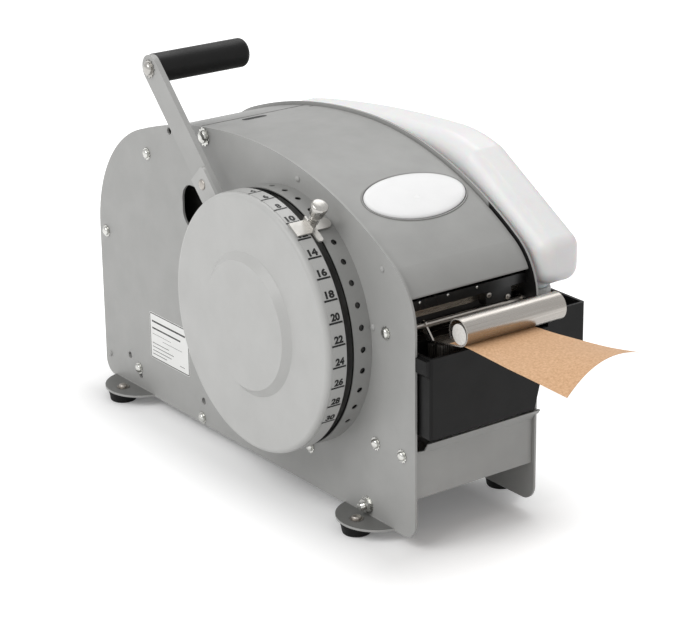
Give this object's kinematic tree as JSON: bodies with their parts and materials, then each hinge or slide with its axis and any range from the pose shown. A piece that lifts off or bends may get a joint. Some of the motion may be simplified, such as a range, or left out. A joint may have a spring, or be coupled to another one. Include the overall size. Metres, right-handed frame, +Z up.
{
  "type": "gummed tape dispenser",
  "caption": "Manual dispenser for gummed paper tape, with a lever and length dial at the side, feed train, cutter, water tank with brush, weight plate, water bottle and hinged covers.",
  "frame": {"origin": "under the middle of the machine, on the surface the feet stand on", "axes": "+Z up, +Y from the tape exit to the back, +X from the dial and lever towards the water bottle"},
  "size_m": [0.2206, 0.6245, 0.3449],
  "materials": {
    "plate": "satin grey paint, light texture",
    "panel": "satin grey paint",
    "cover": "satin grey paint",
    "cap": "satin light grey paint",
    "ring": "satin grey paint",
    "band": "satin",
    "steel": "brushed",
    "bright": "polished",
    "gear": "machined",
    "bronze": "sintered",
    "black_grip": "matte, slightly glossy",
    "tank": "matte",
    "bottle": "translucent natural polyethylene",
    "valve": "moulded",
    "foot": "matte",
    "feed_rubber": "knurled",
    "kraft": "kraft paper, gummed inner side",
    "core": "grey board",
    "guard": "black paint",
    "bristle": "fine bristles"
  },
  "bodies": {
    "frame": {"left_side_plate": "plate", "right_side_plate": "plate", "front_panel": "panel", "tank_shelf": "panel", "base_pan": "panel", "rear_panel": "panel", "hinge_rods": "steel", "cross_rods": "steel", "guide_rod": "steel", "weight_hinge_rod": "steel", "stop_ring": "ring", "dial_cap": "cap", "scale_band": "band", "cap_spacers": "steel", "shaft_bush": "bronze", "idler_stud": "steel", "feed_bushes": "bronze", "pressure_spring": "steel", "fixed_knife": "steel", "guard_bar": "guard", "left_tape_guide": "steel", "tape_web": "kraft", "tape_strip": "kraft", "bottle_shelf": "plate", "rubber_feet": "foot", "foot_screws": "steel", "side_screws": "bright", "hex_bolts": "steel"},
    "lever": {"lever_arm": "cover", "lever_doubler": "cover", "lever_rivet": "steel", "grip": "black_grip", "grip_screw": "bright", "lever_shaft": "steel", "drive_sector": "gear"},
    "idler": {"idler_gears": "gear"},
    "feed": {"feed_shaft": "steel", "feed_pinion": "gear", "feed_wheel": "feed_rubber"},
    "stop": {"stop_clip": "bright"},
    "thumb": {"thumb_screw": "bright"},
    "cover": {"top_cover": "cover"},
    "back_cover": {"rear_cover": "cover"},
    "weight": {"weight_plate": "bright", "weight_bar": "steel"},
    "tank": {"water_tank": "tank", "brush_holder": "tank", "brush_bristles": "bristle"},
    "bottle": {"water_bottle": "bottle", "valve_cap": "valve"},
    "roll": {"tape_roll": "kraft", "tape_core": "core"},
    "cradle_front": {"front_cradle_roller": "black_grip"},
    "cradle_rear": {"rear_cradle_roller": "black_grip"},
    "yoke": {"pressure_yoke": "steel"},
    "nip": {"pressure_roller": "feed_rubber"},
    "knife": {"moving_knife": "steel"},
    "guide": {"right_tape_guide": "steel"}
  },
  "joints": [
    {"name": "lever_swing", "type": "hinge", "parent": "frame", "child": "lever", "pos_m": [0, 0.0049, 0.1562], "axis": [1, 0, 0], "range_deg": [0, 63]},
    {"name": "idler_turn", "type": "hinge", "parent": "frame", "child": "idler", "pos_m": [-0.05, -0.0551, 0.1737], "axis": [1, 0, 0], "range_deg": [-256, 4]},
    {"name": "feed_turn", "type": "hinge", "parent": "frame", "child": "feed", "pos_m": [0, -0.1045, 0.166], "axis": [1, 0, 0], "range_deg": [-16, 1024]},
    {"name": "stop_slide", "type": "hinge", "parent": "frame", "child": "stop", "pos_m": [-0.084, 0.0049, 0.1562], "axis": [1, 0, 0], "range_deg": [0, 95.4]},
    {"name": "thumb_turn", "type": "hinge", "parent": "stop", "child": "thumb", "pos_m": [-0.083, -0.05251, 0.25003], "axis": [0, -0.5219, 0.853], "continuous": true},
    {"name": "cover_open", "type": "hinge", "parent": "frame", "child": "cover", "pos_m": [0, 0.1301, 0.27903], "axis": [-1, 0, 0], "range_deg": [0, 100]},
    {"name": "back_cover_open", "type": "hinge", "parent": "frame", "child": "back_cover", "pos_m": [0, 0.3005, 0.151], "axis": [-1, 0, 0], "range_deg": [0, 75]},
    {"name": "weight_lift", "type": "hinge", "parent": "frame", "child": "weight", "pos_m": [0.008, -0.1435, 0.184], "axis": [-1, 0, 0], "range_deg": [0, 28]},
    {"name": "tank_slide", "type": "slide", "parent": "frame", "child": "tank", "axis": [0, -1, 0], "range_m": [0, 0.09]},
    {"name": "bottle_lift", "type": "slide", "parent": "tank", "child": "bottle", "axis": [0, 0, 1], "range_m": [0, 0.06]},
    {"name": "roll_spin", "type": "hinge", "parent": "frame", "child": "roll", "pos_m": [-0.005, 0.1805, 0.151], "axis": [1, 0, 0], "continuous": true},
    {"name": "front_cradle_spin", "type": "hinge", "parent": "frame", "child": "cradle_front", "pos_m": [-0.005, 0.11214, 0.05691], "axis": [1, 0, 0], "continuous": true},
    {"name": "rear_cradle_spin", "type": "hinge", "parent": "frame", "child": "cradle_rear", "pos_m": [-0.005, 0.24886, 0.05691], "axis": [1, 0, 0], "continuous": true},
    {"name": "yoke_lift", "type": "hinge", "parent": "frame", "child": "yoke", "pos_m": [-0.005, -0.0815, 0.21402], "axis": [-1, 0, 0], "range_deg": [0, 12], "stiffness_Nm_per_rad": 0.3, "springref_deg": -34.38, "deforming": ["pressure_spring"]},
    {"name": "nip_spin", "type": "hinge", "parent": "yoke", "child": "nip", "pos_m": [-0.005, -0.1045, 0.19532], "axis": [1, 0, 0], "continuous": true},
    {"name": "knife_cut", "type": "slide", "parent": "frame", "child": "knife", "axis": [0, 0, -1], "range_m": [0, 0.0115], "stiffness_N_per_m": 200, "springref_m": -0.01},
    {"name": "guide_slide", "type": "slide", "parent": "frame", "child": "guide", "axis": [1, 0, 0], "range_m": [0, 0.02]}
  ],
  "couplings": [
    {"joint": "idler_turn", "follows": "lever_swing", "ratio": -4},
    {"joint": "feed_turn", "follows": "lever_swing", "ratio": 16}
  ]
}
